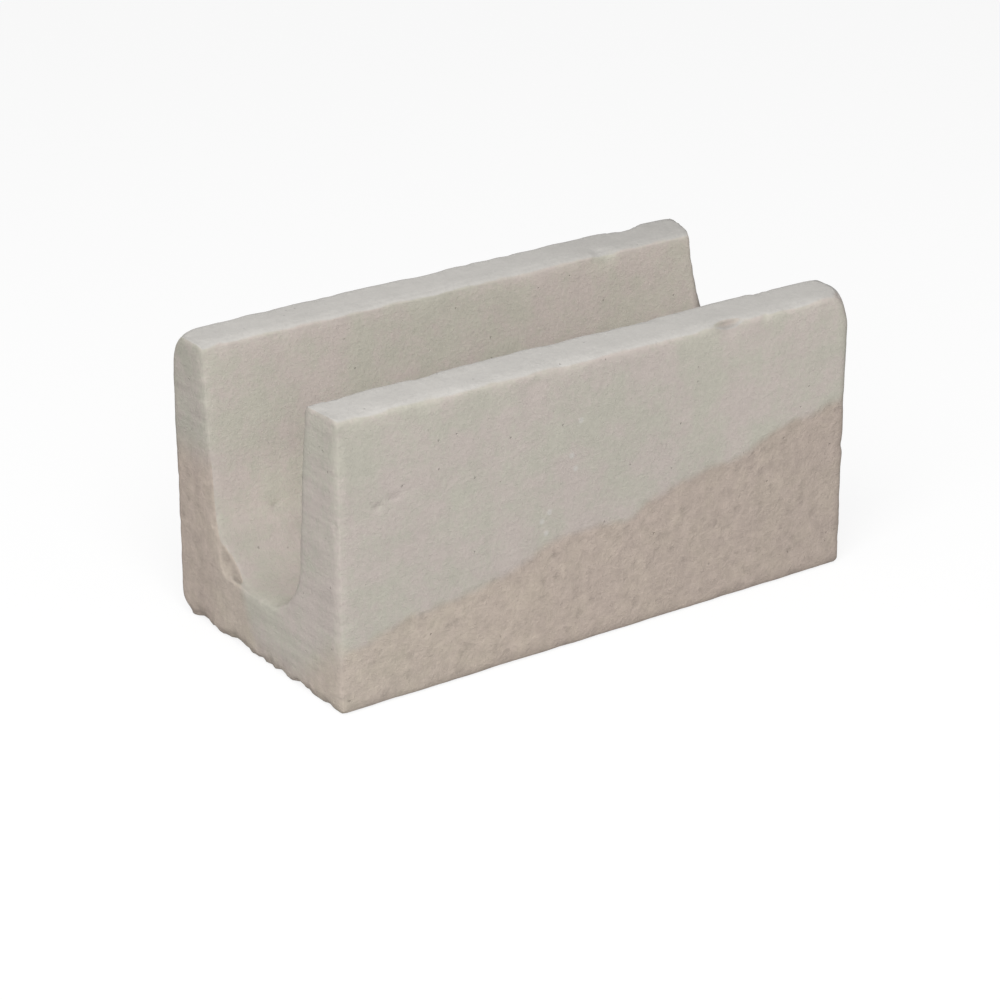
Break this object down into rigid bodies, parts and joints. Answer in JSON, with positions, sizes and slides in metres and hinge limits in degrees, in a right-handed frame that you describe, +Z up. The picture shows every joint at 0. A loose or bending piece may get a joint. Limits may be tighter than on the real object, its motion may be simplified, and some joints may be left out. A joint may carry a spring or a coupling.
{
  "type": "lintel block",
  "caption": "U-section concrete lintel block with tapered walls and a round-footed trough that takes reinforcing bars and grout over an opening.",
  "frame": {"origin": "middle of the bed face, on the surface that the block stands on", "axes": "+X along the lintel, +Y across the wall towards the back face, +Z up out of the trough's mouth"},
  "size_m": [0.39, 0.19, 0.19],
  "materials": {
    "concrete": "matt pale buff-grey pressed concrete, smooth cement skin above and open brown sandy grain below"
  },
  "bodies": {
    "root": {"lintel_block": "concrete"}
  },
  "joints": []
}
